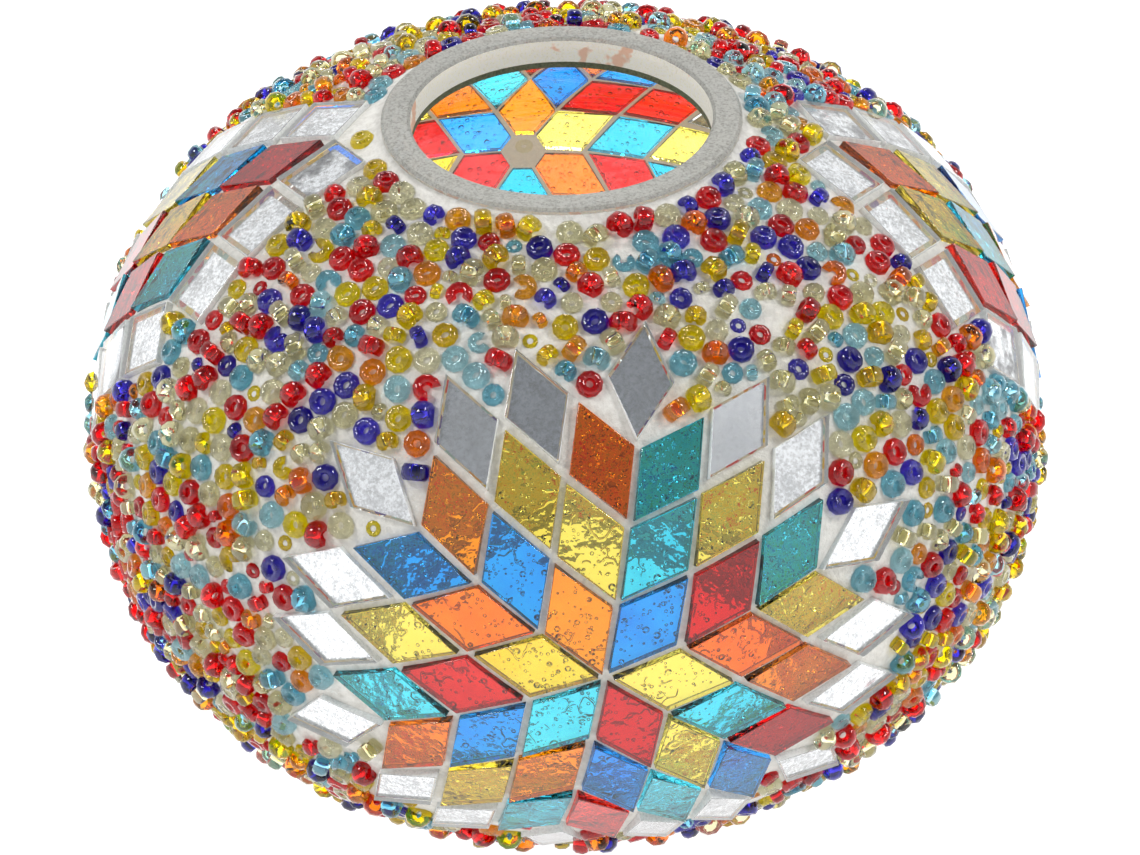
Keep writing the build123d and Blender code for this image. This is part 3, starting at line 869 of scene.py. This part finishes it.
@dataclass
class Motif:
    """One star or diamond of cut tiles, with its mirrors."""

    name: str
    seed: int
    border: float
    nip: float = 0.13 * MM

    def build(
        self, glass: dict[Hue, list[bpy.types.Material]], mirror: list[bpy.types.Material]
    ) -> None:
        """Make every colour's tiles and the mirrors.

        Args:
            glass: For each hue, the sheet glass's face and its bedded back.
            mirror: The mirrors' glass, their silvering and their nipped edges.
        """
        cutter = CutGlass(self.nip, self.seed)
        for hue in Hue:
            node = f"{self.name}_{hue.value}_tiles"
            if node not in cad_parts:
                continue
            shape = cutter.shape(node)
            for face in cutter.backs(shape):
                face.material_index = 1
            cutter.nipped(shape)
            mesh = bpy.data.meshes.new(f"{self.name}_{hue.value}_glass")
            shape.to_mesh(mesh)
            shape.free()
            for finish in glass[hue]:
                mesh.materials.append(finish)
            publish(mesh.name, mesh, [node])
        self.mirrors(cutter, mirror)

    def mirrors(self, cutter: CutGlass, finishes: list[bpy.types.Material]) -> bpy.types.Object:
        """Make the mirrors, each silvered on the back inside a bare border.

        Args:
            cutter: What cuts the tiles.
            finishes: The mirrors' glass, their silvering and their nipped edges.

        Returns:
            The mirrors.
        """
        node = f"{self.name}_mirror_glass"
        shape = cutter.shape(node)
        backs = cutter.backs(shape)
        fronts = [face for face in shape.faces if face.calc_area() > MIRROR_FACE_AREA]
        for face in shape.faces:
            face.material_index = 0 if face in fronts else 2
        bmesh.ops.inset_individual(
            shape, faces=backs, thickness=self.border, use_even_offset=True
        )
        for face in backs:
            face.material_index = 1
        flat = {edge for face in shape.faces if face.material_index == 1 for edge in face.edges}
        sharp = [
            edge for edge in shape.edges if edge not in flat and edge.calc_face_angle(0.0) > 0.3
        ]
        bmesh.ops.bevel(
            shape, geom=sharp, offset=self.nip, affect="EDGES", segments=2,
            profile=0.5, material=-1, clamp_overlap=True,
        )
        mesh = bpy.data.meshes.new(f"{self.name}_mirrors")
        shape.to_mesh(mesh)
        shape.free()
        for finish in finishes:
            mesh.materials.append(finish)
        return publish(mesh.name, mesh, [node, f"{self.name}_mirror_silvering"])


@dataclass(frozen=True)
class BeadSpot:
    """Where one bead lies, and what kind it is."""

    place: Matrix
    scale: float
    broken: bool


@dataclass
class SeedBeads:
    """The scattered seed beads of one colour."""

    hue: BeadHue
    seed: int
    diameter: float = 4.1 * MM
    length: float = 2.6 * MM
    hole: float = 1.2 * MM
    broken_sweep: float = 265.0
    around: int = 10

    def template(self, broken: bool) -> bpy.types.Mesh:
        """A rounded ring with few faces, its hole along Z.

        Args:
            broken: Whether a piece is missing from the ring.

        Returns:
            The ring's mesh.
        """
        edge = (self.diameter - self.hole) / 4.0
        ring = self.diameter / 2.0 - edge
        stub = self.length / 2.0 - edge
        shape = bmesh.new()
        ends = []
        for side, first in ((1.0, 0.0), (-1.0, math.pi)):
            for step in range(4):
                angle = first + math.pi * step / 3.0
                up = stub * side + edge * math.sin(angle)
                ends.append(shape.verts.new((ring + edge * math.cos(angle), 0.0, up)))
        loop = [shape.edges.new((ends[i - 1], ends[i])) for i in range(len(ends))]
        sweep = math.radians(self.broken_sweep if broken else 360.0)
        steps = self.around * 4 // 5 if broken else self.around
        if broken:
            face = shape.faces.new(ends)
            bmesh.ops.spin(
                shape, geom=[*ends, *loop, face], cent=(0, 0, 0), axis=(0, 0, 1), angle=sweep,
                steps=steps, use_merge=False, use_duplicate=False,
            )
        else:
            bmesh.ops.spin(
                shape, geom=ends + loop, cent=(0, 0, 0), axis=(0, 0, 1), angle=sweep,
                steps=steps, use_merge=True, use_duplicate=False,
            )
        bmesh.ops.remove_doubles(shape, verts=shape.verts, dist=1e-7)
        bmesh.ops.recalc_face_normals(shape, faces=shape.faces)
        for face in shape.faces:
            face.smooth = len(face.verts) == 4
        mesh = bpy.data.meshes.new("bead_ring")
        shape.to_mesh(mesh)
        shape.free()
        mesh.attributes.new("piece_tone", "FLOAT", "POINT")
        return mesh

    def spot(self, triangles: np.ndarray) -> BeadSpot:
        """Read one bead's place, lean and size from its CAD solid.

        Args:
            triangles: The solid's triangles, as an array of corners.

        Returns:
            Where the bead lies.
        """
        points = triangles.reshape(-1, 3)
        sides = np.cross(triangles[:, 1] - triangles[:, 0], triangles[:, 2] - triangles[:, 0])
        weights = np.repeat(np.linalg.norm(sides, axis=1), 3)
        middles = ((triangles + np.roll(triangles, 1, axis=1)) / 2.0).reshape(-1, 3)
        centre = np.average(middles, axis=0, weights=weights)
        apart = middles - centre
        _, ways = np.linalg.eigh((apart * weights[:, None]).T @ apart)
        extents = np.ptp((points - centre) @ ways, axis=0)
        scale = float(extents.max() / self.diameter)
        thin = int(np.argmin(np.abs(extents - self.length * scale)))
        axis = ways[:, thin]
        others = [index for index in range(3) if index != thin]
        narrow = others[int(np.argmin(extents[others]))]
        side = ways[:, narrow]
        broken = float(extents[narrow]) < 0.93 * self.diameter * scale
        if broken:
            centre, side = self.ring_centre(points, centre, axis, side, scale)
        third = np.cross(axis, side)
        place = Matrix.Identity(4)
        for row in range(3):
            place[row][:] = (side[row], third[row], axis[row], centre[row])
        if broken:
            place = place @ Matrix.Rotation(-math.radians(self.broken_sweep / 2.0), 4, "Z")
        return BeadSpot(place, scale, broken)

    def ring_centre(
        self, points: np.ndarray, centre: np.ndarray, axis: np.ndarray, side: np.ndarray, scale: float
    ) -> tuple[np.ndarray, np.ndarray]:
        """Find the middle of a broken ring, and the way to its unbroken side.

        Args:
            points: The piece's corners.
            centre: The piece's own middle.
            axis: The way along its hole.
            side: The way in which it is narrow.
            scale: Its size beside a full bead.

        Returns:
            The ring's centre and the way to its unbroken side.
        """
        radius = self.diameter * scale / 2.0
        tries = []
        for way in (side, -side):
            middle = centre + way * (((points - centre) @ way).max() - radius)
            flat = points - middle
            flat = flat - np.outer(flat @ axis, axis)
            reach = np.linalg.norm(flat, axis=1)
            wrong = max(reach.max() - radius, 0.0) + max(self.hole * scale / 2.0 - reach.min(), 0.0)
            tries.append((wrong, middle, way))
        best = min(tries, key=lambda attempt: attempt[0])
        return best[1], best[2]

    def build(self, finish: bpy.types.Material) -> bpy.types.Object:
        """Set a bead at every spot.

        Args:
            finish: The bead glass.

        Returns:
            The beads.
        """
        random = np.random.default_rng(self.seed)
        rings = {broken: self.template(broken) for broken in (False, True)}
        outlines = {broken: corners_of(ring) for broken, ring in rings.items()}
        shape = bmesh.new()
        for solid in solids(f"{self.hue.value}_beads"):
            spot = self.spot(solid)
            ring, outline = rings[spot.broken], outlines[spot.broken]
            stretch = spot.scale * random.uniform((0.99, 0.99, 0.97), (1.07, 1.07, 1.05))
            turn = np.array(spot.place)
            placed = (outline * stretch) @ turn[:3, :3].T + turn[:3, 3]
            ring.vertices.foreach_set("co", placed.ravel())
            shade = np.full(len(outline), random.uniform())
            ring.attributes["piece_tone"].data.foreach_set("value", shade)
            shape.from_mesh(ring)
        name = f"{self.hue.value}_seed_beads"
        mesh = bpy.data.meshes.new(name)
        shape.to_mesh(mesh)
        shape.free()
        mesh.materials.append(finish)
        return publish(name, mesh, [f"{self.hue.value}_beads"])


# ---- studio --------------------------------------------------------------------------


@dataclass
class Studio:
    """The table, the lights, the surroundings and the camera."""

    centre_height: float = EQUATOR
    distance: float = 0.520
    elevation: float = 36.1
    roll: float = -0.98
    lens: float = 95.87

    def camera(self) -> None:
        """Place the camera in front of and above the shade."""
        angle = math.radians(self.elevation)
        middle = Vector((0.0, 0.0, self.centre_height))
        back = Vector((0.0, -math.cos(angle), math.sin(angle)))
        lift = Vector((0.0, math.sin(angle), math.cos(angle)))
        aim = middle + Vector((0.51 * MM, 0.0, 0.0)) - lift * 3.01 * MM
        eye = middle + back * self.distance
        data = bpy.data.cameras.new("camera")
        data.sensor_width = 36.0
        data.lens = self.lens
        data.clip_start = 0.01
        camera = bpy.data.objects.new("camera", data)
        camera.rotation_mode = "QUATERNION"
        camera.location = eye
        facing = (aim - eye).to_track_quat("-Z", "Y")
        tilt = Matrix.Rotation(math.radians(self.roll), 4, "Z")
        camera.rotation_quaternion = facing @ tilt.to_quaternion()
        bpy.context.scene.collection.objects.link(camera)
        bpy.context.scene.camera = camera

    def light(self, name: str, place: Vector, size: float, watts: float) -> None:
        """Hang one soft lamp that points at the shade.

        Args:
            name: The lamp's name.
            place: Where it hangs.
            size: Its side, in metres.
            watts: Its power.
        """
        data = bpy.data.lights.new(name, "AREA")
        data.shape = "DISK"
        data.size = size
        data.energy = watts
        lamp = bpy.data.objects.new(name, data)
        lamp.location = place
        lamp.rotation_mode = "QUATERNION"
        aim = Vector((0.0, 0.0, self.centre_height)) - place
        lamp.rotation_quaternion = aim.to_track_quat("-Z", "Y")
        bpy.context.scene.collection.objects.link(lamp)

    def surroundings(self) -> None:
        """A white room with a greyer ceiling."""
        world = bpy.data.worlds.new("studio")
        bpy.context.scene.world = world
        world.use_nodes = True
        nodes = Nodes(world.node_tree)
        shine = world.node_tree.nodes["Background"]
        way = nodes.add("ShaderNodeTexCoord").outputs["Generated"]
        split = nodes.add("ShaderNodeSeparateXYZ")
        nodes.join(way, split.inputs[0])
        ceiling = nodes.ramp(split.outputs["Z"], 0.25, 0.92)
        nodes.join(nodes.mix(ceiling, (1.0, 1.0, 1.0), (0.21, 0.22, 0.235)), shine.inputs["Color"])
        shine.inputs["Strength"].default_value = 1.15

    def table(self) -> None:
        """The pale table that the shade stands on."""
        shape = bmesh.new()
        bmesh.ops.create_grid(shape, x_segments=2, y_segments=2, size=6.0)
        mesh = bpy.data.meshes.new("table")
        shape.to_mesh(mesh)
        shape.free()
        mesh.materials.append(Stage("pale_table", (0.50, 0.50, 0.50), 0.95).build())
        table = bpy.data.objects.new("table", mesh)
        bpy.context.scene.collection.objects.link(table)

    def build(self) -> None:
        """Set the whole studio."""
        self.table()
        self.surroundings()
        self.light("left_lamp", Vector((-0.60, -0.12, 0.78)), 0.26, 4.0)
        self.light("right_lamp", Vector((0.62, -0.11, 0.78)), 0.26, 4.0)
        self.light("rear_lamp", Vector((0.05, 0.62, 0.80)), 0.22, 2.4)
        self.camera()
        bpy.context.scene.view_settings.view_transform = "Standard"


def main() -> None:
    """Build the shade and its studio in order."""
    logging.basicConfig(level=logging.INFO, format="%(message)s")
    GROUPS["glass"] = seeded_glass_group()
    GROUPS["speckle"] = speckle_group()
    globe = BlownGlobe()
    globe.build(
        [
            ClearGlass("blown_clear_glass", (0.965, 0.975, 0.965), 1.45).build(),
            GroundGlass("ground_rim", srgb(168, 168, 162), srgb(128, 127, 121)).build(),
            # The neck's bore glows with painted light, standing in for light through its pale glass.
            GroundGlass(
                "neck_bore", srgb(236, 236, 226), srgb(206, 204, 194), 0.4, 0.26, stained=0.9
            ).build(),
            GroundGlass("neck_edge_glass", srgb(112, 120, 94), srgb(72, 80, 60), 0.3).build(),
        ]
    )
    GroutBed(globe).build(
        Grout("pale_grout", srgb(212, 210, 204), srgb(182, 179, 172)).build(),
        # The grout seen through the glass glows with painted light.
        Grout("painted_glow_grout", srgb(188, 174, 152), srgb(150, 136, 116), 0.72).build(),
    )
    sheet = {
        Hue.RED: (srgb(250, 40, 14), srgb(210, 0, 20)),
        Hue.ORANGE: (srgb(255, 160, 0), srgb(255, 108, 0)),
        Hue.YELLOW: (srgb(255, 240, 104), srgb(248, 214, 40)),
        Hue.TURQUOISE: (srgb(84, 236, 255), srgb(0, 190, 226)),
        Hue.BLUE: (srgb(20, 172, 255), srgb(0, 112, 226)),
    }
    glass = {
        hue: [
            TileGlass(f"{hue.value}_sheet_glass", *tints).build(),
            TileGlass(f"{hue.value}_bedded_glass", *tints, bedded=True).build(),
        ]
        for hue, tints in sheet.items()
    }
    mirror = [
        ClearGlass("mirror_clear_glass", (0.965, 0.975, 0.975), 1.45).build(),
        Silvering("worn_silvering", srgb(250, 252, 254), srgb(132, 132, 134)).build(),
        GroundGlass("nipped_mirror_edge", srgb(236, 238, 236), srgb(206, 208, 206)).build(),
    ]
    for index, (name, border) in enumerate(MIRROR_BORDERS.items()):
        Motif(name, 40 + index, border=border * MM).build(glass, mirror)
    bead_glass = {
        BeadHue.RED: BeadGlass("red_bead_glass", srgb(250, 8, 14), srgb(214, 0, 8)),
        BeadHue.CHAMPAGNE: BeadGlass("champagne_bead_glass", srgb(248, 245, 206), srgb(230, 224, 170)),
        BeadHue.AMBER: BeadGlass("amber_bead_glass", srgb(255, 232, 4), srgb(236, 194, 0)),
        BeadHue.AQUA: BeadGlass("aqua_bead_glass", srgb(178, 234, 248), srgb(104, 192, 222)),
        BeadHue.COBALT: BeadGlass("cobalt_bead_glass", srgb(60, 50, 214), srgb(24, 12, 150)),
        BeadHue.ORANGE: BeadGlass("orange_bead_glass", srgb(255, 174, 20), srgb(255, 116, 0)),
    }
    for index, (hue, finish) in enumerate(bead_glass.items()):
        SeedBeads(hue, 70 + index).build(finish.build())
    Studio().build()


if __name__ == "__main__":
    main()
